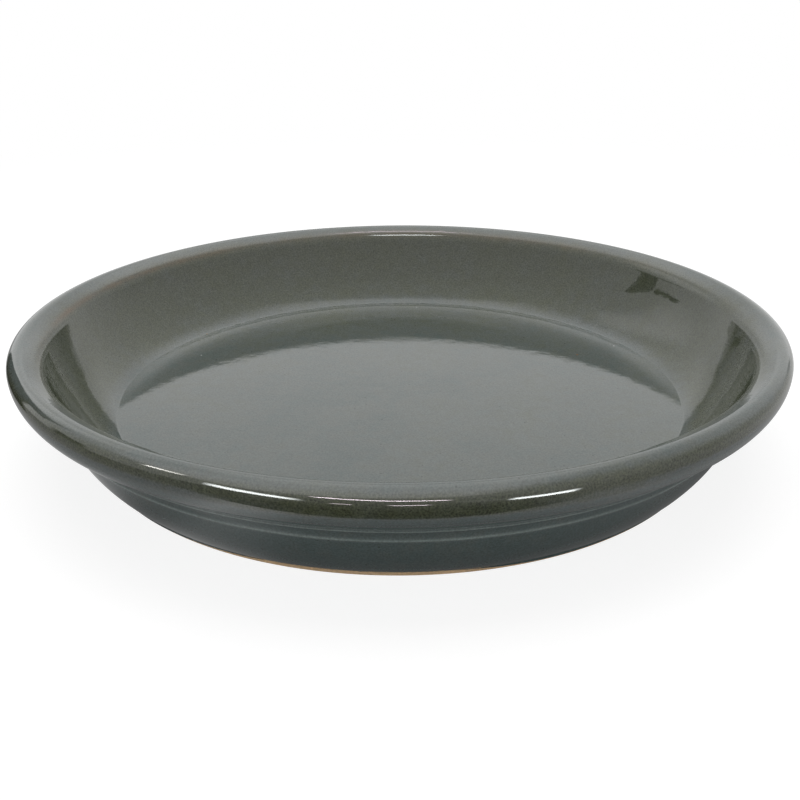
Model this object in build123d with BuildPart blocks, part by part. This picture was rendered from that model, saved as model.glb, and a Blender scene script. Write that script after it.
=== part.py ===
# A round stoneware plant saucer: one fired clay body under one coat of glossy glaze.
# Millimetres, +Z up. The origin is on the saucer's axis, on the surface that it stands on.
# The section is drawn from the rim's outer edge, inwards to the floor and down to the foot.
import os

from build123d import *

# Overall size, measured over the glaze
outer_diameter = 254.0
overall_height = 38.1

# Glaze coat, and the upright edge of the foot that is left bare below it
glaze_thickness = 0.6
bare_foot_height = 1.6

# Rolled rim: its outer nose, its inward slope to the basin and its turned-under side
nose_radius = 3.2
crown_slope = 28.0
crown_length = 5.4
crown_corner_radius = 2.4
underside_radius = 9.6
underside_turn = 54.0
underside_length = 7.7

# Basin in the clay: a flared wall, hollowed more in its lower half, and a flat floor
basin_wall_angle = 50.4
basin_wall_hollow = 3.1
upper_wall_hollow = 0.6
crease_radius = 2.4
floor_thickness = 7.3

# Groove turned under the rim, between two lips
groove_width = 5.4
groove_angle = 53.3
groove_depth = 0.7
lip_radius = 0.5

# Bulged outer wall, and the foot ring around the recess in the base
outer_wall_angle = 58.4
outer_wall_bulge = 1.4
foot_width = 8.0
foot_edge_radius = 0.4
recess_depth = 2.5
recess_corner_radius = 1.5

# Places in the clay that follow from the sizes above
rim_edge = (outer_diameter / 2 - glaze_thickness, overall_height - glaze_thickness - nose_radius)
floor_height = recess_depth + floor_thickness
floor_level = Axis((0, floor_height), (1, 0))
glaze_line = Axis((0, bare_foot_height), (1, 0))

# Clay body: floor, wall, rim and foot ring, turned as one piece
with BuildPart() as clay_body:
    with BuildSketch(Plane.XZ) as clay_section:
        with BuildLine():
            # Rim and basin, from the rim's outer edge to the middle of the floor
            nose = JernArc(rim_edge, (0, 1), nose_radius, 90 + crown_slope)
            crown = PolarLine(nose @ 1, crown_length, direction=nose % 1)
            wall_chord = PolarLine(crown @ 1, floor_level, 180 + basin_wall_angle, mode=Mode.PRIVATE)
            crease = wall_chord @ 1
            hollow_side = (wall_chord % 0).rotate(Axis.Z, 90)
            wall_middle = wall_chord @ 0.5 + hollow_side * basin_wall_hollow
            upper_wall = SagittaArc(crown @ 1, wall_middle, upper_wall_hollow)
            TangentArc(wall_middle, crease, tangent=upper_wall % 1)
            # Outside, from the rim's outer edge down to the foot
            underside = JernArc(rim_edge, (0, -1), underside_radius, -underside_turn)
            slope = PolarLine(underside @ 1, underside_length, direction=underside % 1)
            groove_top = slope @ 1
            groove_chord = PolarLine(groove_top, groove_width, 180 + groove_angle, mode=Mode.PRIVATE)
            groove_bottom = groove_chord @ 1
            SagittaArc(groove_top, groove_bottom, -groove_depth)
            outer_chord = PolarLine(groove_bottom, glaze_line, 180 + outer_wall_angle, mode=Mode.PRIVATE)
            wall_end = outer_chord @ 1
            SagittaArc(groove_bottom, wall_end, outer_wall_bulge)
            # Foot ring, recess and floor
            foot_outer_edge = wall_end - Vector(0, bare_foot_height)
            foot_inner_edge = foot_outer_edge - Vector(foot_width, 0)
            recess_corner = foot_inner_edge + Vector(0, recess_depth)
            Polyline(wall_end, foot_outer_edge, foot_inner_edge, recess_corner, (0, recess_depth))
            Polyline((0, recess_depth), (0, floor_height), crease)
        make_face()
        rounded_corners = (
            (crown @ 1, crown_corner_radius),
            (crease, crease_radius),
            (groove_top, lip_radius),
            (groove_bottom, lip_radius),
            (foot_outer_edge, foot_edge_radius),
            (foot_inner_edge, foot_edge_radius),
            (recess_corner, recess_corner_radius),
        )
        for corner, radius in rounded_corners:
            fillet(clay_section.vertices().sort_by_distance(corner)[0], radius)
    revolve(axis=Axis.Z)

# Glaze coat: an even layer on the clay from the basin, over the rim, down to the bare foot
with BuildPart() as glaze_coat:
    with BuildSketch(Plane.XZ):
        add(clay_section.sketch_local)
        offset(amount=glaze_thickness)
        with Locations((0, bare_foot_height)):
            Rectangle(outer_diameter, overall_height, align=Align.MIN, mode=Mode.INTERSECT)
        add(clay_section.sketch_local, mode=Mode.SUBTRACT)
        Rectangle(foot_inner_edge.X, recess_depth, align=Align.MIN, mode=Mode.SUBTRACT)
    revolve(axis=Axis.Z)

clay_body.part.label = "clay_body"
glaze_coat.part.label = "glaze_coat"

os.makedirs("parts", exist_ok=True)
export_step(clay_body.part, "parts/clay_body.step")
export_step(glaze_coat.part, "parts/glaze_coat.step")
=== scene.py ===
# %% [markdown]
# A glazed stoneware plant saucer.
# The real saucer is one lump of clay, turned on a wheel, fired, and coated with one glossy glaze. The solids
# of the frame already have its section, so the two pieces made here are turned from the same section, with
# what a plain solid lacks: a glaze that is thick in the hollows and thin on the edges, a rolled glaze line
# above the bare foot, turning marks under the base, and the colours of both materials.

# %% Load the frame
import math

import bpy
import numpy as np
from mathutils import Euler, Matrix


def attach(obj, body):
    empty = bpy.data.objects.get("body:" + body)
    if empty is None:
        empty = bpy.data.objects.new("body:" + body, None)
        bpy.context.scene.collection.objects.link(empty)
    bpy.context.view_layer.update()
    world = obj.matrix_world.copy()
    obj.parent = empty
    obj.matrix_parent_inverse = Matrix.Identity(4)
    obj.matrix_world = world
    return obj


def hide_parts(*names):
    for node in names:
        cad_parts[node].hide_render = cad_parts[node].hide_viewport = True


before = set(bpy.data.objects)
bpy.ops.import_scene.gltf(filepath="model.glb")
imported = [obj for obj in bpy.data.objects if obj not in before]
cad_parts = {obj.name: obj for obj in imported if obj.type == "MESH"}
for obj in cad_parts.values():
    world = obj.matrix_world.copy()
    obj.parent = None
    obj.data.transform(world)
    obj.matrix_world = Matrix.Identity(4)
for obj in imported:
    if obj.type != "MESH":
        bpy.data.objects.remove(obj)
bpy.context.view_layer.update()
scene = bpy.context.scene
MM = 0.001

# %% [markdown]
# The camera.
# The photograph looks down on the saucer from close by, so near things are drawn clearly larger than far
# ones. A camera could be set up by eye, but the outline would not quite fit. Here its place, tilt, roll and
# lens were worked out from the outline of the rim, the foot and the floor's edge. The lens is a plain one,
# with no shift and no blur by distance.

# %% Camera
CAMERA_PLACE = (0.0, -0.33473, 0.15069)
CAMERA_TILT_DOWN = 23.39
CAMERA_ROLL = -0.298
CAMERA_LENS = 46.59
SENSOR_WIDTH = 36.0
NEAREST_SEEN = 0.01

lens = bpy.data.cameras.new("photo_camera")
lens.sensor_fit = "HORIZONTAL"
lens.sensor_width = SENSOR_WIDTH
lens.lens = CAMERA_LENS
lens.clip_start = NEAREST_SEEN
camera = bpy.data.objects.new("photo_camera", lens)
aim = Euler((math.radians(90 - CAMERA_TILT_DOWN), 0.0, 0.0)).to_matrix()
roll = Matrix.Rotation(math.radians(CAMERA_ROLL), 3, "Z")
camera.rotation_euler = (aim @ roll).to_euler()
camera.location = CAMERA_PLACE
scene.collection.objects.link(camera)
scene.camera = camera
print("camera: lens", CAMERA_LENS, "mm, looking down", CAMERA_TILT_DOWN, "degrees")

# %% [markdown]
# The section.
# A potter holds a shaped rib against the turning clay, so the whole saucer is one line turned about the
# axis. That line could be traced by hand as a curve object, but it is made of arcs and straight runs that
# meet smoothly, so it is worked out here from the same sizes as the solids, in millimetres. Each run is an
# array of (radius, height) points, and two runs meet in a rounded corner.

# %% Runs of the section
def arc_run(centre, radius, start, end, count):
    """Points on a circle about centre, from angle start to angle end in degrees."""
    angle = np.radians(np.linspace(start, end, count))[:, None]
    return np.asarray(centre) + radius * np.hstack([np.cos(angle), np.sin(angle)])


def straight_run(start, end, count):
    """Points spaced evenly from start to end."""
    share = np.linspace(0, 1, count)[:, None]
    return np.asarray(start) * (1 - share) + np.asarray(end) * share


def bowed_run(start, end, bow, count):
    """Points on the circle through start and end that stands bow to the left of the line between them.
    The half angle of that arc is twice the arctangent of bow over half the line's length."""
    start, end = np.asarray(start, float), np.asarray(end, float)
    half = np.hypot(*(end - start)) / 2
    along = (end - start) / (2 * half)
    left = np.array([-along[1], along[0]])
    half_angle = 2 * math.atan(bow / half)
    radius = half / math.sin(half_angle)
    angle = np.linspace(-half_angle, half_angle, count)[:, None]
    rise = radius * (np.cos(angle) - math.cos(half_angle))
    return (start + end) / 2 + radius * np.sin(angle) * along + rise * left


def polar(length, angle):
    """The step of the given length at the given angle in degrees."""
    return length * np.array([math.cos(math.radians(angle)), math.sin(math.radians(angle))])


# %% Rounded corners of the section
SMALLEST_STEP = 1e-6


def run_length(line):
    """How far along the line each of its points lies."""
    return np.concatenate([[0], np.cumsum(np.hypot(*np.diff(line, axis=0).T))])


def shortened(run, cut):
    """The run without its first stretch of length cut."""
    length = run_length(run)
    first = [np.interp(cut, length, run[:, axis]) for axis in (0, 1)]
    return np.vstack([first, run[length > cut + SMALLEST_STEP]])


def rounded(before, after, radius, count):
    """Both runs, with the corner where they meet replaced by an arc of the given radius.
    The arc is the weighted curve with its middle point on the corner and a weight of cos(turn / 2)."""
    way_in = before[-1] - before[-2]
    way_out = after[1] - after[0]
    cosine = way_in @ way_out / np.hypot(*way_in) / np.hypot(*way_out)
    turn = math.acos(np.clip(cosine, -1, 1))
    cut = radius * math.tan(turn / 2)
    corner = before[-1]
    before = shortened(before[::-1], cut)[::-1]
    after = shortened(after, cut)
    share = np.linspace(0, 1, count)[:, None]
    pull = 2 * math.cos(turn / 2) * share * (1 - share)
    weight = (1 - share) ** 2 + pull + share ** 2
    arc = ((1 - share) ** 2 * before[-1] + pull * corner + share ** 2 * after[0]) / weight
    return np.vstack([before[:-1], arc, after[1:]])


# %% Sizes of the clay, in millimetres and degrees
GLAZE = 0.6
BARE_FOOT = 1.6
RIM_EDGE = np.array([126.4, 34.3])
NOSE_RADIUS = 3.2
CROWN_SLOPE = 28.0
CROWN_LENGTH = 5.4
CROWN_CORNER_RADIUS = 6.0
UNDERSIDE_RADIUS = 9.6
UNDERSIDE_TURN = 54.0
UNDERSIDE_LENGTH = 7.7
WALL_ANGLE = 50.4
WALL_HOLLOW = 3.1
UPPER_WALL_HOLLOW = 0.6
CREASE_RADIUS = 2.4
FLOOR_HEIGHT = 9.8
GROOVE_WIDTH = 5.4
GROOVE_ANGLE = 53.3
GROOVE_DEPTH = 0.7
LIP_RADIUS = 0.5
OUTER_WALL_ANGLE = 58.4
OUTER_WALL_BULGE = 1.4
FOOT_WIDTH = 8.0
FOOT_EDGE_RADIUS = 0.4
RECESS_DEPTH = 2.5
RECESS_CORNER_RADIUS = 1.5
print("clay:", 2 * RIM_EDGE[0], "mm across, under a glaze of", GLAZE, "mm")

# %% Basin and rim
NOSE_POINTS = 26
CROWN_POINTS = 6
CROWN_CORNER_POINTS = 9
UPPER_WALL_POINTS = 15
LOWER_WALL_POINTS = 16
CREASE_POINTS = 8
FLOOR_POINTS = 16


def basin_section():
    """From the middle of the floor out over the crease, up the hollow wall and over the rim to its edge."""
    nose = arc_run(RIM_EDGE - [NOSE_RADIUS, 0], NOSE_RADIUS, 0, 90 + CROWN_SLOPE, NOSE_POINTS)
    corner = nose[-1] + polar(CROWN_LENGTH, 180 + CROWN_SLOPE)
    drop = corner[1] - FLOOR_HEIGHT
    crease = corner - [drop / math.tan(math.radians(WALL_ANGLE)), drop]
    chord = (crease - corner) / np.hypot(*(crease - corner))
    middle = (corner + crease) / 2 + WALL_HOLLOW * np.array([-chord[1], chord[0]])
    upper_wall = bowed_run(corner, middle, UPPER_WALL_HOLLOW, UPPER_WALL_POINTS)
    # The lower wall leaves the middle in the direction in which the upper wall arrives
    half = (crease - middle) / 2
    half_length = np.hypot(*half)
    arrival = upper_wall[-1] - upper_wall[-2]
    sine = (arrival[0] * half[1] - arrival[1] * half[0]) / half_length / np.hypot(*arrival)
    lower_hollow = -half_length * math.tan(math.asin(sine) / 2)
    lower_wall = bowed_run(middle, crease, lower_hollow, LOWER_WALL_POINTS)
    wall = np.vstack([upper_wall[:-1], lower_wall])
    rim = np.vstack([nose[:-1], straight_run(nose[-1], corner, CROWN_POINTS)])
    rim_to_wall = rounded(rim, wall, CROWN_CORNER_RADIUS, CROWN_CORNER_POINTS)
    floor = straight_run(crease, (0, FLOOR_HEIGHT), FLOOR_POINTS)
    return rounded(rim_to_wall, floor, CREASE_RADIUS, CREASE_POINTS)[::-1]


basin = basin_section()
print("basin and rim:", len(basin), "points, out to", RIM_EDGE[0], "and up to", round(basin[:, 1].max(), 1))

# %% Outside and foot
UNDERSIDE_POINTS = 14
UNDER_RIM_POINTS = 6
GROOVE_POINTS = 10
LIP_ARC_POINTS = 7
OUTER_WALL_POINTS = 24
UPRIGHT_POINTS = 14


def outer_section():
    """From the rim's edge under the rim, over the groove and its two lips, down the wall to the foot."""
    rim_centre = RIM_EDGE - [UNDERSIDE_RADIUS, 0]
    underside = arc_run(rim_centre, UNDERSIDE_RADIUS, 0, -UNDERSIDE_TURN, UNDERSIDE_POINTS)
    groove_top = underside[-1] + polar(UNDERSIDE_LENGTH, 270 - UNDERSIDE_TURN)
    groove_bottom = groove_top + polar(GROOVE_WIDTH, 180 + GROOVE_ANGLE)
    drop = groove_bottom[1] - BARE_FOOT
    wall_end = groove_bottom - [drop / math.tan(math.radians(OUTER_WALL_ANGLE)), drop]
    below_underside = straight_run(underside[-1], groove_top, UNDER_RIM_POINTS)
    below_rim = np.vstack([underside[:-1], below_underside])
    groove = bowed_run(groove_top, groove_bottom, -GROOVE_DEPTH, GROOVE_POINTS)
    outer_wall = bowed_run(groove_bottom, wall_end, OUTER_WALL_BULGE, OUTER_WALL_POINTS)
    rim_to_groove = rounded(below_rim, groove, LIP_RADIUS, LIP_ARC_POINTS)
    return rounded(rim_to_groove, outer_wall, LIP_RADIUS, LIP_ARC_POINTS)


outside = outer_section()
foot = np.array([outside[-1, 0], 0.0])
upright = straight_run(outside[-1], foot, UPRIGHT_POINTS)
print("outside:", len(outside), "points, foot at a radius of", round(foot[0], 1))

# %% [markdown]
# Turning a section into a mesh.
# A Screw or Spin modifier would turn the line too, but here every ring also carries values that the
# finishes read, such as how thin the glaze lies there. So the turned surface is a grid: one parameter runs
# along the section, the other round the axis. Both ends of a section lie on the axis, and each is one
# point, a pole.

# %% Turned piece
TURNS = 400
TURN_ANGLE = 2 * np.pi * np.arange(TURNS) / TURNS
ROUND = np.ones(TURNS)


def turned_piece(name, radius, height, values):
    """A closed surface of revolution. Row i, column j of radius and height lies at the turn angle
    2 pi j / TURNS, so x = radius cos(angle), y = radius sin(angle). The first and last rows are poles.
    values holds one array of the same shape for each attribute of the points."""
    rows = radius.shape[0]
    grid = np.stack([radius * np.cos(TURN_ANGLE), radius * np.sin(TURN_ANGLE), height], -1) * MM
    points = np.vstack([grid[:1, 0], grid[1:-1].reshape(-1, 3), grid[-1:, 0]])
    column = np.arange(TURNS)
    beside = (column + 1) % TURNS
    ring = 1 + np.arange(rows - 2)[:, None] * TURNS
    inner, outer = ring[:-1], ring[1:]
    corners = [inner + column, outer + column, outer + beside, inner + beside]
    quads = np.stack(corners, -1).reshape(-1, 4)
    last = len(points) - 1
    first_fan = np.stack([np.zeros_like(column), 1 + column, 1 + beside], -1)
    last_fan = np.stack([np.full_like(column, last), ring[-1] + beside, ring[-1] + column], -1)
    mesh = bpy.data.meshes.new(name)
    mesh.from_pydata(points, [], quads.tolist() + first_fan.tolist() + last_fan.tolist())
    for label, value in values.items():
        flat = np.concatenate([value[:1, 0], value[1:-1].ravel(), value[-1:, 0]])
        layer = mesh.attributes.new(label, "FLOAT", "POINT")
        layer.data.foreach_set("value", flat.astype(np.float32))
    mesh.shade_smooth()
    piece = bpy.data.objects.new(name, mesh)
    scene.collection.objects.link(piece)
    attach(piece, "root")
    print(name, len(points), "points", len(quads) * 2 + 2 * TURNS, "triangles")
    return piece


# %% [markdown]
# The glaze coat.
# Glaze is a powder in water until it is fired. Then it is a thick melt that draws back from sharp edges,
# gathers in hollows and creeps down the outside, where it stops in a small roll above the wiped foot. A
# Solidify modifier would give a coat of even thickness, with none of that. Here each point of the clay's
# section is moved outwards by a thickness that falls where the section bends outwards. The coat is never
# thicker than the solid's, apart from a fine bead along the groove's two lips, which a turning tool raises
# and the glaze rounds over. The foot was wiped by hand, so the line where the glaze stops is higher at the
# front than at the sides.

# %% Where the glaze lies
UPPER_LIP = (116.2, 22.0)
LOWER_LIP = (113.0, 17.7)
CROWN_CORNER = (116.9, 34.6)
CREASE = (96.4, FLOOR_HEIGHT)


def outward(line):
    """The direction square to the line at each point, to the left of the way that it runs."""
    way = np.gradient(line, run_length(line), axis=0)
    way /= np.hypot(*way.T)[:, None]
    return np.stack([-way[:, 1], way[:, 0]], -1)


def run_near(place):
    """How far along the glazed section its point nearest to the place lies."""
    return run[np.argmin(np.hypot(*(covered - place).T))]


covered = np.vstack([basin[:-1], outside[:-1], upright[:-2]])
away = outward(covered)
run = run_length(covered)
rim_run = run[len(basin) - 1]
wall_end_run = run[len(basin) - 1 + len(outside) - 1]
upper_lip_run = run_near(UPPER_LIP)
lower_lip_run = run_near(LOWER_LIP)
corner_run = run_near(CROWN_CORNER)
crease_run = run_near(CREASE)
print("glazed section:", round(run[-1], 1), "mm long, with the rim's edge at", round(rim_run, 1), "mm")

# %% More points near the lips, where the surface turns within a millimetre
LIP_REACH = 1.2
LIP_POINTS = 13
LEAST_STEP = 0.06


def at_finer_points(column_pair):
    """Two columns given along the old points, read off at the finer ones."""
    return np.stack([np.interp(finer, run, column_pair[:, axis]) for axis in (0, 1)], -1)


both_lips = (upper_lip_run, lower_lip_run)
more = [np.linspace(lip - LIP_REACH, lip + LIP_REACH, LIP_POINTS) for lip in both_lips]
finer = np.sort(np.concatenate([run, *more]))
finer = finer[np.diff(finer, prepend=-1) > LEAST_STEP]
covered = at_finer_points(covered)
away = at_finer_points(away)
away /= np.hypot(*away.T)[:, None]
run = finer
print("glazed section:", len(covered), "points")

# %% Edges, from which the melt draws back
MELT_LENGTH = 2.0
FULL_EDGE_BEND = 0.3
# The bend is the turn per millimetre, evened out by a bell curve about as wide as the melt flows
heading = np.unwrap(np.arctan2(away[:, 1], away[:, 0]))
bend = -np.gradient(heading, run)
near = np.exp(-0.5 * ((run[:, None] - run) / MELT_LENGTH) ** 2) * np.gradient(run)
melted_bend = (near @ bend) / near.sum(1)
edge = np.clip(melted_bend / FULL_EDGE_BEND, 0, 1)
print("sharpest edge:", round(float(edge.max()), 2), "of a full one")

# %% Glaze line at the foot
LOW_LINE = 0.45
HIGH_LINE = 1.05
FRONT = math.radians(-96)
FRONT_SPREAD = math.radians(20)
BACK = math.radians(60)
BACK_SPREAD = math.radians(38)
BACK_SHARE = 0.6
LONG_WAVER, LONG_WAVES, LONG_START = 0.08, 7, 1.0
SHORT_WAVER, SHORT_WAVES = 0.05, 17


def bump_round(middle, spread):
    """A smooth hump round the axis: exp of minus the squared angle from its middle over its spread."""
    turn = np.angle(np.exp(1j * (TURN_ANGLE - middle)))
    return np.exp(-((turn / spread) ** 2))


raised = bump_round(FRONT, FRONT_SPREAD) + BACK_SHARE * bump_round(BACK, BACK_SPREAD)
long_waver = LONG_WAVER * np.sin(LONG_WAVES * TURN_ANGLE + LONG_START)
short_waver = SHORT_WAVER * np.sin(SHORT_WAVES * TURN_ANGLE)
line_height = LOW_LINE + HIGH_LINE * raised
line_height += long_waver + short_waver
line_run = wall_end_run + BARE_FOOT - line_height
print("glaze line:", round(line_height.min(), 2), "to", round(line_height.max(), 2), "mm above the table")

# %% Thickness of the coat
EDGE_THINNING = 0.1
UNEVENNESS = 0.04
UNEVEN_SPAN = 2.5
WAVE_SEED = 5
WAVE_COUNT = 14
WAVE_LENGTHS = (18.0, 60.0)
MOST_WAVES_ROUND = 7
ROLL_LENGTH = 1.6
SUNK = 0.14
SINK_LENGTH = 0.2


def smooth_waves(run, seed, count, lengths, most_turns):
    """A smooth uneven field over run (along the section, mm) and turn angle: a sum of count cosines whose
    wavelengths along the section lie between lengths, with up to most_turns waves round the axis.
    The field is scaled so that its standard deviation is 1."""
    draw = np.random.default_rng(seed)
    field = np.zeros((len(run), TURNS))
    for _ in range(count):
        along = 2 * np.pi / draw.uniform(*lengths) * draw.choice([-1, 1])
        around = draw.integers(0, most_turns + 1)
        field += np.cos(along * run[:, None] + around * TURN_ANGLE + draw.uniform(0, 2 * np.pi))
    return field / field.std()


thickness = GLAZE * (1 - EDGE_THINNING * edge)
waves = smooth_waves(run, WAVE_SEED, WAVE_COUNT, WAVE_LENGTHS, MOST_WAVES_ROUND)
coat = thickness[:, None] * np.clip(1 - UNEVENNESS * (1 + waves / UNEVEN_SPAN), 0, 1)
# The coat ends in a roll above the glaze line, and below the line it sinks into the clay
above_line = line_run - run[:, None]
roll_share = np.clip(above_line / ROLL_LENGTH, 0, 1)
rolled = coat * np.sqrt(1 - (1 - roll_share) ** 4)
sunk = -SUNK * np.clip(-above_line / SINK_LENGTH, 0, 1)
coat = np.where(above_line > 0, rolled, sunk)
print("coat:", round(coat[above_line > ROLL_LENGTH].min(), 3), "to", round(coat.max(), 3), "mm thick")

# %% Beads on the groove's lips
UPPER_BEAD = 0.4
LOWER_BEAD = 0.14
LOWER_BEAD_SHIFT = 0.7
LIP_WIDTH = 0.42


def line_along(middle, spread):
    """A thin line round the saucer: exp of minus the squared run from its middle over its spread."""
    return np.exp(-(((run - middle) / spread) ** 2))


upper_lip = line_along(upper_lip_run, LIP_WIDTH)
lower_lip = line_along(lower_lip_run + LOWER_BEAD_SHIFT, LIP_WIDTH)
coat += (UPPER_BEAD * upper_lip + LOWER_BEAD * lower_lip)[:, None]
lips = np.maximum(upper_lip, lower_lip)
# The middle of the floor is one point, so it has one thickness
coat[0] = coat[0].mean()
print("beads:", UPPER_BEAD, "and", LOWER_BEAD, "mm high")

# %% Hidden side of the coat
CLAY_GAP = 0.05
HIDDEN_STEP = 6
hidden = np.arange(len(covered))[::-1][HIDDEN_STEP::HIDDEN_STEP]
under = covered[hidden] - (SUNK + CLAY_GAP) * away[hidden]
under[-1] = (0, FLOOR_HEIGHT - SUNK)
radius = np.vstack([covered[:, :1] + away[:, :1] * coat, under[:, :1] * ROUND])
height = np.vstack([covered[:, 1:] + away[:, 1:] * coat, under[:, 1:] * ROUND])
print("coat:", len(covered), "rows that show and", len(hidden), "hidden ones")

# %% Where the glaze looks thin, with painted shade and a painted reflection
# Painted shade: at the front the olive band runs further down the rim than the glaze's thinness gives
FRONT_BAND = math.radians(-88)
FRONT_BAND_SPREAD = math.radians(27)
FRONT_BAND_END = 3.2
SIDE_BAND_END = 0.5
BAND_FADE = 1.2
PAINTED_REFLECTION_OLIVE = 0.2
BACK_FLOOR = math.radians(90)
BACK_FLOOR_SPREAD = math.radians(48)


def along_glaze(value):
    """One value for each point of the glazed section, spread round every ring and kept on the hidden side."""
    return np.concatenate([value, value[hidden]])[:, None] * ROUND


def thinness_with(band_end):
    """How thin the glaze looks along the section, from 0, thick and slate, to 1, thin and olive, if the
    olive band on the rim's edge ends band_end below that edge: straight steps between these stops."""
    stops = [(0, 0.3), (crease_run + 1, 0.32), (crease_run + 6, 0.7), (rim_run - 16, 0.75),
             (rim_run - 11, 0.7), (rim_run - 7, 0.35), (rim_run - 3, 0.35), (rim_run - 1.6, 0.85),
             (rim_run + band_end, 1.0), (rim_run + band_end + BAND_FADE, 0.06), (wall_end_run, 0.0)]
    return along_glaze(np.interp(run, *zip(*stops)))


# The olive band reaches further down at the front than at the sides: beyond the sides' length it is painted
# shade, standing in for the dark room that the front of the rim mirrors
painted_shade_at_front = bump_round(FRONT_BAND, FRONT_BAND_SPREAD)
thin = thinness_with(FRONT_BAND_END) * painted_shade_at_front + thinness_with(SIDE_BAND_END) * (1 - painted_shade_at_front)
# The floor is painted a little more olive towards the back: a painted reflection of the olive wall that the
# floor mirrors there
back_stops = [(50, 0), (70, PAINTED_REFLECTION_OLIVE), (crease_run - 2, PAINTED_REFLECTION_OLIVE), (crease_run + 1, 0)]
painted_wall_reflection = np.interp(run, *zip(*back_stops))
thin += along_glaze(painted_wall_reflection) * bump_round(BACK_FLOOR, BACK_FLOOR_SPREAD)
print("thinness:", round(thin.min(), 2), "to", round(thin.max(), 2))

# %% Pale lips with a painted highlight, a painted reflection under the rim, and the brown line inside the rim
UNDER_RIM_PAINTED_REFLECTION = 0.3
LEFT_BROWN = 0.9
LEFT_BROWN_SHIFT, LEFT_BROWN_WIDTH = 0.6, 1.0
LEFT_BROWN_ANGLE, LEFT_BROWN_SPREAD = math.radians(165), math.radians(28)
BACK_BROWN = 0.45
BACK_BROWN_SHIFT, BACK_BROWN_WIDTH = 1.6, 1.8
BACK_BROWN_ANGLE, BACK_BROWN_SPREAD = math.radians(90), math.radians(60)
# Under the rim the glaze is painted a little paler too: a painted reflection of the pale table below it
under_rim_reflection_stops = [(7, 0), (9, UNDER_RIM_PAINTED_REFLECTION), (16, UNDER_RIM_PAINTED_REFLECTION), (17, 0)]
under_rim_painted_reflection = np.interp(run - rim_run, *zip(*under_rim_reflection_stops))
# The brown line is fine and strong at the left, and wide and weak at the back
brown_left = along_glaze(line_along(corner_run + LEFT_BROWN_SHIFT, LEFT_BROWN_WIDTH))
brown_back = along_glaze(line_along(corner_run + BACK_BROWN_SHIFT, BACK_BROWN_WIDTH))
brown_line = brown_left * LEFT_BROWN * bump_round(LEFT_BROWN_ANGLE, LEFT_BROWN_SPREAD)
brown_line += brown_back * BACK_BROWN * bump_round(BACK_BROWN_ANGLE, BACK_BROWN_SPREAD)
print("brown line: up to", round(brown_line.max(), 2))

# %% Glaze piece
glaze = turned_piece("saucer_glaze", radius, height, {
    "brown_line": brown_line,
    # The lips values also carry the painted reflection under the rim
    "lips": along_glaze(np.maximum(lips, under_rim_painted_reflection)),
    "thin": thin,
    "run": along_glaze(run * MM),
})
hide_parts("glaze_coat")

# %% [markdown]
# The clay body.
# Under the glaze the clay shows only as a thin bare edge at the foot, and as the whole base. A base is
# trimmed with a loop tool while it turns on the wheel, which leaves fine rings. A bump in the finish could
# stand in for them, but they would be missing from the mesh, so the base itself rises and falls a little
# with the distance from the axis. Rows that the glaze hides are few, because nobody sees them.

# %% Base of the clay
FOOT_RING_POINTS = 12
RECESS_WALL_POINTS = 4
BASE_ARC_POINTS = 6
BASE_POINTS = 90


def base_section(foot):
    """From the foot's outer edge across the foot ring, into the recess and on to the middle of the base."""
    inner = foot - [FOOT_WIDTH, 0]
    recess = inner + [0, RECESS_DEPTH]
    flat = straight_run(foot, inner, FOOT_RING_POINTS)
    recess_wall = straight_run(inner, recess, RECESS_WALL_POINTS)
    ring = rounded(flat, recess_wall, FOOT_EDGE_RADIUS, BASE_ARC_POINTS)
    base = straight_run(recess, (0, RECESS_DEPTH), BASE_POINTS)
    return rounded(ring, base, RECESS_CORNER_RADIUS, BASE_ARC_POINTS)


bare_edge = np.vstack([outside[-3:-1], upright])
bare = rounded(bare_edge, base_section(foot), FOOT_EDGE_RADIUS, BASE_ARC_POINTS)
print("bare clay:", len(bare), "points")

# %% Clay body
UNDER_GLAZE = 0.3
RING_DEPTH = 0.05
RING_SPACING = 9.1
FINE_RING_SPACING = 5.3
FINE_RING_SHARE = 0.6
RING_LIFT = 1.6
FIRST_RING = 10
HEIGHT_SLACK = 0.01


def ring_wave(spacing):
    """A sine of the distance from the axis, with one wave for each spacing."""
    return np.sin(2 * np.pi * ring_radius / spacing)


hidden_clay = np.vstack([basin[:-1], outside[:-4]])
hidden_clay = hidden_clay - UNDER_GLAZE * outward(hidden_clay)
hidden_clay[0, 0] = 0.0
clay_line = np.vstack([hidden_clay[:: HIDDEN_STEP // 2], bare])
on_bare = np.arange(len(clay_line)) > len(clay_line) - len(bare)
on_base = on_bare & (clay_line[:, 1] > RECESS_DEPTH - HEIGHT_SLACK)
ring_radius = clay_line[:, 0]
rings = ring_wave(RING_SPACING) + FINE_RING_SHARE * ring_wave(FINE_RING_SPACING) + RING_LIFT
ring_height = RING_DEPTH * rings * np.clip(ring_radius / FIRST_RING, 0, 1)
clay_line[:, 1] += np.where(on_base, ring_height, 0.0)
clay = turned_piece("saucer_clay", clay_line[:, :1] * ROUND, clay_line[:, 1:] * ROUND, {
    "run": run_length(clay_line)[:, None] * ROUND * MM,
})
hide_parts("clay_body")

# %% [markdown]
# The glaze finish.
# The glaze is a dark glass with milky clouds in it. Where it is thin it is olive, breaking to brown inside
# the rim, and where it lies thick it is a blue grey slate. Some of its colour is painted light: painted shade
# at the front of the rim, and painted reflections on the back of the floor, under the rim and on the lips.
# Fine dark specks are iron from the clay, and pale ones are painted glints, standing in for the sparkle of
# pinholes. It could be painted as a picture and wrapped round the saucer, but then it would blur close up and
# show a seam. So it is made of nodes that read the place on the piece and the values on its rings. Its gloss
# comes from a plain glass surface with very low roughness.

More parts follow.
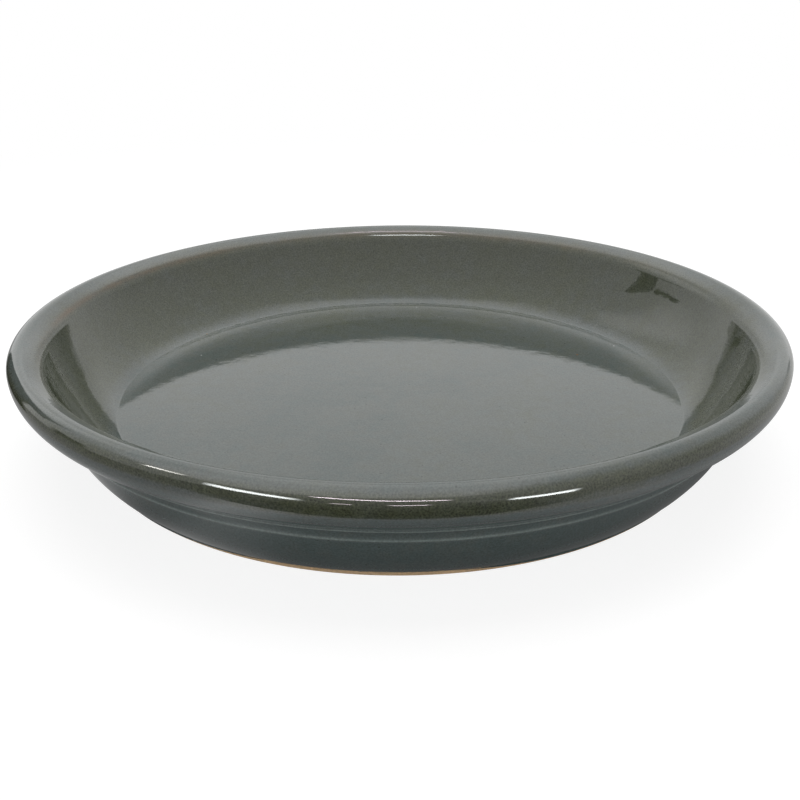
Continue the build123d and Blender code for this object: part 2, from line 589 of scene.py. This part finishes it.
# %% Node helpers
def node_maker(tree):
    """A function that adds a node to the tree, sets its inputs or links them, and returns it."""
    def node(kind, inputs=None, **settings):
        made = tree.nodes.new(kind)
        for key, value in settings.items():
            setattr(made, key, value)
        for key, value in (inputs or {}).items():
            if isinstance(value, bpy.types.NodeSocket):
                tree.links.new(value, made.inputs[key])
            else:
                made.inputs[key].default_value = value
        return made

    return node


def new_finish(name):
    """A material with its shader and two short helpers: one adds a node, the other links two sockets."""
    finish = bpy.data.materials.new(name)
    finish.use_nodes = True
    tree = finish.node_tree
    return finish, tree.nodes["Principled BSDF"], node_maker(tree), tree.links.new


def math_node(node, operation, first, second=0.0):
    """One arithmetic step on two numbers."""
    return node("ShaderNodeMath", {0: first, 1: second}, operation=operation).outputs["Value"]


def remap(node, value, span, result, smooth=False):
    """The value moved from one span of numbers to another, and held at both ends."""
    kind = "SMOOTHSTEP" if smooth else "LINEAR"
    inputs = {"Value": value, 1: span[0], 2: span[1], 3: result[0], 4: result[1]}
    return node("ShaderNodeMapRange", inputs, interpolation_type=kind).outputs["Result"]


def attribute(node, name):
    """A value that the mesh carries on its points."""
    return node("ShaderNodeAttribute", attribute_name=name).outputs["Fac"]


# %% Colour helpers
def ramp(node, factor, stops):
    """A colour ramp through (place, (red, green, blue)) stops."""
    made = node("ShaderNodeValToRGB", {"Fac": factor})
    elements = made.color_ramp.elements
    while len(elements) < len(stops):
        elements.new(0.5)
    for element, (place, colour) in zip(elements, stops):
        element.position = place
        element.color = (*colour, 1.0)
    return made.outputs["Color"]


def grey(node, level):
    """The grey of the given level."""
    return node("ShaderNodeCombineColor", {0: level, 1: level, 2: level}).outputs[0]


def blend_colours(node, factor, first, second, mode="MIX"):
    """Two colours mixed by a factor."""
    made = node("ShaderNodeMix", data_type="RGBA", blend_type=mode)
    for index, value in ((0, factor), (6, first), (7, second)):
        if isinstance(value, bpy.types.NodeSocket):
            made.id_data.links.new(value, made.inputs[index])
        else:
            made.inputs[index].default_value = value
    return made.outputs[2]


# %% Pattern helpers
NOISE_SPAN = (0.3, 0.7)
SPOT_CORE = 0.6


def noise(node, vector, scale, detail, rough):
    """Smooth three-dimensional noise, mostly within NOISE_SPAN, with features of about 1 / scale metres."""
    inputs = {"Vector": vector, "Scale": scale, "Detail": detail, "Roughness": rough}
    return node("ShaderNodeTexNoise", inputs).outputs["Fac"]


def specks(node, vector, scale, size, share):
    """Small round spots: 1 inside the spot, 0 outside. Space is cut into cells of about 1 / scale metres, a
    cell's spot is size of a cell in radius, and only the given share of cells has one."""
    cells = node("ShaderNodeTexVoronoi", {"Vector": vector, "Scale": scale})
    spot = remap(node, cells.outputs["Distance"], (size * SPOT_CORE, size), (1.0, 0.0), smooth=True)
    number = node("ShaderNodeSeparateColor", {0: cells.outputs["Color"]}).outputs[0]
    return math_node(node, "MULTIPLY", spot, math_node(node, "LESS_THAN", number, share))


# %% Glaze colour
SLATE = (0.078, 0.108, 0.104)
GREY_SLATE = (0.099, 0.114, 0.104)
OLIVE = (0.083, 0.093, 0.067)
EDGE_OLIVE = (0.070, 0.078, 0.045)
IRON_BROWN = (0.125, 0.078, 0.040, 1.0)
LIP_GREY_AND_HIGHLIGHT = (0.24, 0.29, 0.275, 1.0)
CLOUD_SHIFT = 0.14
MOTTLE_SHIFT = 0.12
BROWN_SPAN = (0.38, 0.62)
BROWN_COVER = (0.3, 1.0)
LIP_COVER = (0.75, 1.0)

finish, shader, node, link = new_finish("reactive_glaze")
place = node("ShaderNodeTexCoord").outputs["Object"]
thin_value = attribute(node, "thin")
clouds = noise(node, place, scale=34.0, detail=5.0, rough=0.62)
mottle = noise(node, place, scale=240.0, detail=3.0, rough=0.6)
# Thin glaze is olive, thick glaze is slate, and clouds and mottle shift the change between them
cloud_shift = remap(node, clouds, NOISE_SPAN, (-CLOUD_SHIFT, CLOUD_SHIFT))
mottle_shift = remap(node, mottle, NOISE_SPAN, (-MOTTLE_SHIFT, MOTTLE_SHIFT))
thinness = math_node(node, "ADD", thin_value, cloud_shift)
thinness = math_node(node, "ADD", thinness, mottle_shift)
colour = ramp(node, thinness, [(0.0, SLATE), (0.35, GREY_SLATE), (0.7, OLIVE), (1.0, EDGE_OLIVE)])
# Iron breaks through to brown in a thin uneven line inside the rim. The groove's lips are paler where the
# glaze breaks over them and partly by a painted highlight, and the strip under the rim is a painted
# reflection
brown_cover = remap(node, clouds, BROWN_SPAN, BROWN_COVER)
broken = math_node(node, "MULTIPLY", attribute(node, "brown_line"), brown_cover)
colour = blend_colours(node, broken, colour, IRON_BROWN)
lip_cover = remap(node, clouds, NOISE_SPAN, LIP_COVER)
pale = math_node(node, "MULTIPLY", attribute(node, "lips"), lip_cover)
colour = blend_colours(node, pale, colour, LIP_GREY_AND_HIGHLIGHT)
print("glaze colour: from slate to olive, with", len(finish.node_tree.nodes), "nodes so far")

# %% Grain and specks of the glaze
GRAIN_THINNESS = (0.3, 0.9)
GRAIN_DEPTH = (0.22, 0.52)
CLOUD_SHADE = (0.93, 1.07)
DARK_SPECK = (0.020, 0.022, 0.018, 1.0)
DARK_SPECK_COVER = 0.55
RUST = (0.20, 0.10, 0.045, 1.0)
PAINTED_GLINT = (0.50, 0.52, 0.50, 1.0)

# A fine grain all over, deeper where the glaze is thin
grain = noise(node, place, scale=1900.0, detail=2.0, rough=0.6)
grain_depth = remap(node, thin_value, GRAIN_THINNESS, GRAIN_DEPTH)
shade = math_node(node, "MULTIPLY", remap(node, grain, NOISE_SPAN, (-1.0, 1.0)), grain_depth)
shade = math_node(node, "ADD", shade, 1.0)
shade = math_node(node, "MULTIPLY", shade, remap(node, clouds, NOISE_SPAN, CLOUD_SHADE))
colour = blend_colours(node, 1.0, colour, grey(node, shade), "MULTIPLY")
# Dark iron specks, a few rust flecks, and pale specks that are painted glints, standing in for the sparkle of
# pinholes
dark_specks = specks(node, place, scale=330.0, size=0.13, share=0.30)
rust_flecks = specks(node, place, scale=90.0, size=0.05, share=0.06)
painted_glints = specks(node, place, scale=145.0, size=0.05, share=0.07)
dark_cover = math_node(node, "MULTIPLY", dark_specks, DARK_SPECK_COVER)
colour = blend_colours(node, dark_cover, colour, DARK_SPECK)
colour = blend_colours(node, rust_flecks, colour, RUST)
colour = blend_colours(node, painted_glints, colour, PAINTED_GLINT)
link(colour, shader.inputs["Base Color"])
glaze.data.materials.append(finish)
print("finish:", finish.name, len(finish.node_tree.nodes), "nodes")

# %% Glaze surface
RIPPLE_HEIGHT = 0.000034
PIT_DEPTH = 0.00012
WHEEL_SHARE = 0.25
GLAZE_ROUGHNESS = (0.03, 0.065)
GLASS_IOR = 1.5

ripple = noise(node, place, scale=210.0, detail=2.0, rough=0.5)
wheel_line = node("ShaderNodeCombineXYZ", {0: attribute(node, "run")}).outputs[0]
wheel = noise(node, wheel_line, scale=420.0, detail=2.0, rough=0.5)
pinholes = specks(node, place, scale=150.0, size=0.05, share=0.16)
surface = math_node(node, "ADD", ripple, math_node(node, "MULTIPLY", wheel, WHEEL_SHARE))
rippled = node("ShaderNodeBump", {"Strength": 1.0, "Distance": RIPPLE_HEIGHT, "Height": surface})
pitted = node("ShaderNodeBump", {"Strength": 1.0, "Distance": PIT_DEPTH, "Height": pinholes,
                                 "Normal": rippled.outputs["Normal"]}, invert=True)
link(pitted.outputs["Normal"], shader.inputs["Normal"])
link(remap(node, mottle, NOISE_SPAN, GLAZE_ROUGHNESS), shader.inputs["Roughness"])
shader.inputs["IOR"].default_value = GLASS_IOR
print("glaze surface: ripple of", RIPPLE_HEIGHT, "m, pits of", PIT_DEPTH, "m")

# %% [markdown]
# The bare clay finish.
# Unglazed stoneware is matt and gritty. It is tan, with darker and paler patches, fine grit and a few dark
# specks of iron. One noise would give it an even cloudiness, so a fine one and a coarse one are added, and
# the fine one also roughens the surface.

# %% Clay finish
# These tans are lighter than the clay's own colour: painted light that makes up for the shade of the rim over
# the foot
DARK_TAN = (0.50, 0.32, 0.165)
TAN = (0.67, 0.45, 0.24)
PALE_TAN = (0.75, 0.53, 0.295)
CLAY_IRON = (0.06, 0.035, 0.02, 1.0)
CLAY_IRON_COVER = 0.7
GRIT_STRENGTH = 0.6
GRIT_HEIGHT = 0.00008
CLAY_ROUGHNESS = (0.75, 0.95)

finish, shader, node, link = new_finish("bare_stoneware")
place = node("ShaderNodeTexCoord").outputs["Object"]
grit = noise(node, place, scale=1400.0, detail=3.0, rough=0.6)
patches = noise(node, place, scale=60.0, detail=4.0, rough=0.6)
half_grit = math_node(node, "MULTIPLY", grit, 0.5)
half_patches = math_node(node, "MULTIPLY", patches, 0.5)
shade = math_node(node, "ADD", half_grit, half_patches)
colour = ramp(node, shade, [(0.32, DARK_TAN), (0.5, TAN), (0.68, PALE_TAN)])
iron = specks(node, place, scale=520.0, size=0.16, share=0.12)
colour = blend_colours(node, math_node(node, "MULTIPLY", iron, CLAY_IRON_COVER), colour, CLAY_IRON)
link(colour, shader.inputs["Base Color"])
gritty = node("ShaderNodeBump", {"Strength": GRIT_STRENGTH, "Distance": GRIT_HEIGHT, "Height": grit})
link(gritty.outputs["Normal"], shader.inputs["Normal"])
link(remap(node, grit, NOISE_SPAN, CLAY_ROUGHNESS), shader.inputs["Roughness"])
clay.data.materials.append(finish)
print("finish:", finish.name, len(finish.node_tree.nodes), "nodes")

# %% [markdown]
# The table.
# The saucer stands on a white table before a white sweep. A bent backdrop could be modelled, but one large
# level card does the same here. Near the saucer it takes the saucer's shadow as any white card would, and a
# little light of its own carries it up to white for the camera. Further away it is plain white, so that no
# horizon shows.

# %% Stage cards
def stage_card(name, corners):
    """A flat card through four corners, which is part of the studio and not of the saucer. Its UV map runs
    from 0 to 1 along both sides."""
    mesh = bpy.data.meshes.new(name)
    mesh.from_pydata(corners, [], [(0, 1, 2, 3)])
    square = np.array([0, 0, 1, 0, 1, 1, 0, 1], np.float32)
    mesh.uv_layers.new(name="card").data.foreach_set("uv", square)
    card = bpy.data.objects.new(name, mesh)
    scene.collection.objects.link(card)
    return card


def level_card(name, across, along, height):
    """A level card at the given height, over the span across in x and the span along in y."""
    (x0, x1), (y0, y1) = across, along
    return stage_card(name, [(x0, y0, height), (x1, y0, height), (x1, y1, height), (x0, y1, height)])


def seen_directly(node):
    """1 for rays from the camera and for rays that a mirror or glass has turned, 0 for soft light."""
    path = node("ShaderNodeLightPath").outputs
    seen = math_node(node, "MAXIMUM", path["Is Camera Ray"], path["Is Glossy Ray"])
    return math_node(node, "MAXIMUM", seen, path["Is Transmission Ray"])


# %% Table
TABLE_SPAN = (-12.0, 12.0)
SHADOW_SPAN = (0.22, 0.6)
TABLE_WHITE = 0.25
TABLE_OWN_LIGHT = 0.86
TABLE_ROUGHNESS = 0.9

table = level_card("table", TABLE_SPAN, TABLE_SPAN, 0.0)
finish, shader, node, link = new_finish("white_table")
place = node("ShaderNodeTexCoord").outputs["Object"]
distance = node("ShaderNodeVectorMath", {0: place}, operation="LENGTH").outputs["Value"]
white = remap(node, distance, SHADOW_SPAN, (TABLE_WHITE, 0.0), smooth=True)
link(grey(node, white), shader.inputs["Base Color"])
shader.inputs["Roughness"].default_value = TABLE_ROUGHNESS
shader.inputs["Specular IOR Level"].default_value = 0.0
shader.inputs["Emission Color"].default_value = (1.0, 1.0, 1.0, 1.0)
own_light = remap(node, distance, SHADOW_SPAN, (TABLE_OWN_LIGHT, 1.0), smooth=True)
link(math_node(node, "MULTIPLY", own_light, seen_directly(node)), shader.inputs["Emission Strength"])
table.data.materials.append(finish)
print("table:", finish.name)

# %% [markdown]
# What the glaze mirrors.
# A glossy pot shows the room around it, so a potter who photographs one sets cards about it: a pale sheet
# under it with a dark edge in front, dark flags at the sides, a soft panel above the rim, and small lamps
# that leave thin bright streaks. A picture of a whole room could be wrapped round the scene, but its parts
# could not be moved one by one. Each card here is seen only in the gloss. It gives no light of its own to
# the saucer, so the colours stay as they are written.

# %% Mirrored cards
def only_mirrored(card):
    """Lets the card show in glossy reflections and nowhere else."""
    for ray in ("camera", "diffuse", "transmission", "volume_scatter", "shadow"):
        setattr(card, "visible_" + ray, False)


def glow(name, card, level, soft, colour=(1.0, 1.0, 1.0), standing=False, one_sided=False):
    """Gives the card an even glow that fades out towards its sides. soft is the share of the width and of
    the height over which it fades. A standing card does not fade at its foot, and a one-sided card glows
    only on its back."""
    finish, _, node, link = new_finish(name)
    card.data.materials.append(finish)
    only_mirrored(card)
    across = node("ShaderNodeSeparateXYZ", {0: node("ShaderNodeTexCoord").outputs["UV"]}).outputs
    fades = []
    for value, span, open_foot in ((across[0], soft[0], False), (across[1], soft[1], standing)):
        other = math_node(node, "SUBTRACT", 1.0, value)
        inside = other if open_foot else math_node(node, "MINIMUM", value, other)
        fades.append(remap(node, inside, (0.0, span), (0.0, 1.0), smooth=True))
    cover = math_node(node, "MULTIPLY", *fades)
    if one_sided:
        back = node("ShaderNodeNewGeometry").outputs["Backfacing"]
        cover = math_node(node, "MULTIPLY", cover, back)
    lamp = node("ShaderNodeEmission", {"Color": (*colour, 1.0), "Strength": level}).outputs[0]
    clear = node("ShaderNodeBsdfTransparent").outputs[0]
    mixed = node("ShaderNodeMixShader", {0: cover, 1: clear, 2: lamp}).outputs[0]
    link(mixed, finish.node_tree.nodes["Material Output"].inputs["Surface"])
    print("card:", name, "level", level)


# %% Sheet under the saucer
SHEET_SPAN = (-0.9, 0.9)
SHEET_HEIGHT = 0.0004
FAR_LEFT_PAPER = (0.42, 0.42, 0.42, 1.0)
FAR_LEFT_SPAN = (-0.1, -0.075)
ACROSS_START = -0.15


def grey_ramp(node, factor, stops):
    """A ramp through (place, level) stops, each of them a grey."""
    return ramp(node, factor, [(place, (level,) * 3) for place, level in stops])


sheet = level_card("paper_sheet", SHEET_SPAN, SHEET_SPAN, SHEET_HEIGHT)
only_mirrored(sheet)
finish, _, node, link = new_finish("paper_sheet")
place = node("ShaderNodeTexCoord").outputs["Object"]
parts = node("ShaderNodeSeparateXYZ", {0: place}).outputs
distance = node("ShaderNodeVectorMath", {0: place}, operation="LENGTH").outputs["Value"]
# Painted shadow: the paper is painted darker near the saucer, where the saucer shades it
paper = grey_ramp(node, distance, [(0.103, 0.12), (0.112, 0.155), (0.122, 0.29), (0.132, 0.5), (0.16, 0.75),
                                   (0.22, 1.15), (0.8, 1.2)])
# Painted light from side to side: the paper is brightest left of the middle, and an even grey at the far left
across = math_node(node, "SUBTRACT", parts[0], ACROSS_START)
painted_side_light = grey_ramp(node, across, [(0.065, 0.9), (0.078, 1.3), (0.092, 2.5), (0.105, 2.1), (0.12, 1.1),
                                      (0.17, 1.0), (0.2, 1.15), (0.23, 1.15), (0.25, 0.9), (0.28, 0.75)])
paper = blend_colours(node, 1.0, paper, painted_side_light, "MULTIPLY")
far_left = remap(node, parts[0], FAR_LEFT_SPAN, (1.0, 0.0), smooth=True)
paper = blend_colours(node, far_left, paper, FAR_LEFT_PAPER)
sheet.data.materials.append(finish)
print("sheet: at a height of", SHEET_HEIGHT, "m")

# %% Dark edge of the sheet
SHEET_EDGE = -0.134
EDGE_BLUR = 0.001
EDGE_MIDDLE = -0.01
EDGE_REACH = (0.04, 0.12)

in_front = remap(node, parts[1], (SHEET_EDGE - EDGE_BLUR, SHEET_EDGE + EDGE_BLUR), (1.0, 0.0))
aside = math_node(node, "ABSOLUTE", math_node(node, "SUBTRACT", parts[0], EDGE_MIDDLE))
in_front = math_node(node, "MULTIPLY", in_front, remap(node, aside, EDGE_REACH, (1.0, 0.0), smooth=True))
ahead = math_node(node, "MULTIPLY", parts[1], -1.0)
dark_table = grey_ramp(node, ahead, [(0.155, 0.06), (0.185, 0.4), (0.25, 0.6), (0.5, 0.7)])
seen_colour = blend_colours(node, in_front, paper, dark_table)
seen_sheet = node("ShaderNodeEmission", {"Color": seen_colour}).outputs[0]
link(seen_sheet, finish.node_tree.nodes["Material Output"].inputs["Surface"])
print("sheet: front edge at", SHEET_EDGE, "m")

# %% Flags round the saucer, in metres
def flag(name, start, end, top, level, soft, bottom=0.0):
    """A standing card over the line from start to end on the table."""
    card = stage_card(name, [(*start, bottom), (*end, bottom), (*end, top), (*start, top)])
    glow(name, card, level, soft, standing=True)


flag("front_flag", (-0.5, -0.62), (0.5, -0.62), top=0.22, level=0.8, soft=(0.2, 0.7))
flag("back_flag", (-0.6, 0.9), (0.6, 0.9), top=0.36, level=0.7, soft=(0.45, 0.5))
flag("right_flag", (0.62, -0.45), (0.55, 0.55), top=0.34, level=0.85, soft=(0.25, 0.6))
flag("right_line", (0.60, 0.0), (0.57, 0.54), bottom=0.06, top=0.17, level=0.25, soft=(0.15, 0.2))
flag("left_flag", (-0.20, -0.018), (-0.20, 0.080), top=0.108, level=0.02, soft=(0.08, 0.12))
flag("left_low_flag", (-0.20, -0.108), (-0.20, -0.052), bottom=0.03, top=0.064, level=0.15, soft=(0.3, 0.3))

# %% Window at the left and its frame, in metres
def pane(name, corners, level, soft):
    """A glowing card through four corners, which fades at all its sides."""
    glow(name, stage_card(name, corners), level, soft)


pane("left_window", [(-1.02, 0.5, 0.25), (-0.556, 1.056, 0.25), (-0.556, 1.056, 1.6), (-1.02, 0.5, 1.6)],
     level=1.8, soft=(0.4, 0.3))
pane("left_frame", [(-0.743, 0.195, 0.226), (-0.716, 0.311, 0.226), (-0.703, 0.350, 0.382),
                    (-0.734, 0.239, 0.541)], level=0.15, soft=(0.06, 0.06))
pane("left_frame_arm", [(-0.701, 0.340, 0.335), (-0.610, 0.498, 0.280), (-0.610, 0.498, 0.318),
                        (-0.701, 0.340, 0.385)], level=0.05, soft=(0.1, 0.25))

# %% Panel above the front rim, in metres
PANEL_HEIGHT = 0.125
panel = level_card("rim_panel", (-0.21, 0.105), (-0.34, -0.03), PANEL_HEIGHT)
glow("rim_panel", panel, level=2.6, soft=(0.2, 0.35))

# %% Streak lamps in front, in millimetres
WARM_LAMP = (1.0, 0.97, 0.92)
WHITE_LAMP = (0.96, 1.0, 1.0)
PINK_LAMP = (1.0, 0.86, 0.95)
STREAK_SOFT = (0.2, 0.4)


def strip(name, left_end, right_end, half_height, level, colour):
    """A thin upright glowing strip between two points."""
    (x0, y0, z0), (x1, y1, z1) = left_end, right_end
    corners = np.array([(x0, y0, z0 - half_height), (x1, y1, z1 - half_height),
                        (x1, y1, z1 + half_height), (x0, y0, z0 + half_height)]) * MM
    glow(name, stage_card(name, corners.tolist()), level, STREAK_SOFT, colour)


strip("left_streak", (-210, -140, 125), (-184, -185, 139), half_height=18, level=26, colour=WARM_LAMP)
strip("left_long_streak", (-128, -178, 58), (-64, -219, 16), half_height=18, level=26, colour=WHITE_LAMP)
strip("middle_streak_a", (-86, -261, 90), (-6, -279, 60), half_height=7, level=38, colour=PINK_LAMP)
strip("middle_streak_b", (-34, -276, 68), (50, -272, 54), half_height=7, level=38, colour=PINK_LAMP)
strip("middle_low_streak", (-8, -188, 8), (17, -187, 8), half_height=3, level=26, colour=PINK_LAMP)
strip("left_low_streak", (-37, -183, 11), (-23, -185, 11), half_height=3, level=16, colour=PINK_LAMP)
strip("right_streak", (56, -186, 8), (94, -164, 9), half_height=16, level=26, colour=WHITE_LAMP)

# %% Streak lamps over the back rim, in millimetres
RIM_STREAK_SOFT = (0.2, 0.3)


def rim_strip(name, across, low, high, level, colour):
    """A glowing strip above the back rim from the points (y, z) low to high, that only the rim sees: it
    glows on the side away from the basin. across holds its two ends."""
    (x0, x1), (y0, z0), (y1, z1) = across, low, high
    corners = np.array([(x0, y0, z0), (x1, y0, z0), (x1, y1, z1), (x0, y1, z1)]) * MM
    glow(name, stage_card(name, corners.tolist()), level, RIM_STREAK_SOFT, colour, one_sided=True)


rim_strip("back_streak", (-11, 15), (111, 55), (111, 100), level=17, colour=WHITE_LAMP)
rim_strip("back_pink_streak", (-14, 16), (146, 124), (279, 477), level=8, colour=PINK_LAMP)

# %% [markdown]
# Sky and lamps.
# One wide soft lamp hangs above and a little behind the saucer, and the white room fills the shadows.
# Together they give a flat surface that faces up about the light of a plain white room, so its colour
# renders as written. A long low strip in front, lower than the rim, throws soft light under it, as a white
# card on the table would. The gloss mirrors neither lamp. It mirrors the room, which is brighter in a band
# behind the saucer. More lamps could make that band, but they would also light the glaze.

# %% Bright band of the mirrored room
GLOW_RISES = (math.radians(30), math.radians(50))
GLOW_FALLS = (math.radians(74), math.radians(82))
GLOW_SIDES = (0.15, 0.45)
SECOND_GLOW_HIGHER = math.radians(12)
SECOND_GLOW_WIDER = 0.02

world = bpy.data.worlds.new("white_room")
scene.world = world
world.use_nodes = True
node = node_maker(world.node_tree)
toward = node("ShaderNodeSeparateXYZ", {0: node("ShaderNodeTexCoord").outputs["Generated"]}).outputs
path = node("ShaderNodeLightPath").outputs
# The floor's mirror image of the wall shows the band more strongly, and higher up, than the wall itself
second = remap(node, path["Glossy Depth"], (1.0, 2.0), (0.0, 1.0))
rise = math_node(node, "ARCTAN2", toward[2], toward[1])
fall = math_node(node, "SUBTRACT", rise, math_node(node, "MULTIPLY", second, SECOND_GLOW_HIGHER))
wider = math_node(node, "MULTIPLY", second, SECOND_GLOW_WIDER)
sideways = math_node(node, "SUBTRACT", math_node(node, "ABSOLUTE", toward[0]), wider)
above = remap(node, rise, GLOW_RISES, (0.0, 1.0), smooth=True)
below = remap(node, fall, GLOW_FALLS, (1.0, 0.0), smooth=True)
between = remap(node, sideways, GLOW_SIDES, (1.0, 0.0), smooth=True)
glowing = math_node(node, "MULTIPLY", math_node(node, "MULTIPLY", above, below), between)
print("bright band:", round(math.degrees(GLOW_FALLS[1] - GLOW_RISES[0])), "degrees high")

# %% Room
ROOM_FILL = 0.37
MIRRORED_ROOM = 1.16
GLOW_LEVEL = 2.3
SECOND_GLOW_LEVEL = 3.2

glow_level = remap(node, second, (0.0, 1.0), (GLOW_LEVEL, SECOND_GLOW_LEVEL))
mirrored_room = remap(node, glowing, (0.0, 1.0), (MIRRORED_ROOM, glow_level))
clear_view = math_node(node, "MAXIMUM", path["Is Camera Ray"], path["Is Transmission Ray"])
strength = remap(node, clear_view, (0.0, 1.0), (ROOM_FILL, 1.0))
strength = node("ShaderNodeMix", {0: path["Is Glossy Ray"], 2: strength, 3: mirrored_room}).outputs[0]
sky = world.node_tree.nodes["Background"]
sky.inputs["Color"].default_value = (1.0, 1.0, 1.0, 1.0)
world.node_tree.links.new(strength, sky.inputs["Strength"])
print("room fill", ROOM_FILL)

# %% Lamps
def area_lamp(name, size, energy, place, tilt):
    """A soft rectangular lamp that the gloss does not mirror, turned by tilt degrees about the X axis."""
    light = bpy.data.lights.new(name, "AREA")
    light.shape = "RECTANGLE"
    light.size, light.size_y = size
    light.energy = energy
    lamp = bpy.data.objects.new(name, light)
    lamp.location = place
    lamp.rotation_euler = (math.radians(tilt), 0.0, 0.0)
    lamp.visible_glossy = False
    scene.collection.objects.link(lamp)
    print("lamp:", name, energy, "W")


area_lamp("softbox", size=(1.4, 1.1), energy=10.0, place=(0.0, 0.3, 1.1), tilt=-15)
area_lamp("low_strip", size=(1.0, 0.03), energy=0.8, place=(0.0, -0.62, 0.019), tilt=90)
scene.view_settings.view_transform = "Standard"

# %% [markdown]
# Bringing the scene up to date.

# %% Scene update
bpy.context.view_layer.update()
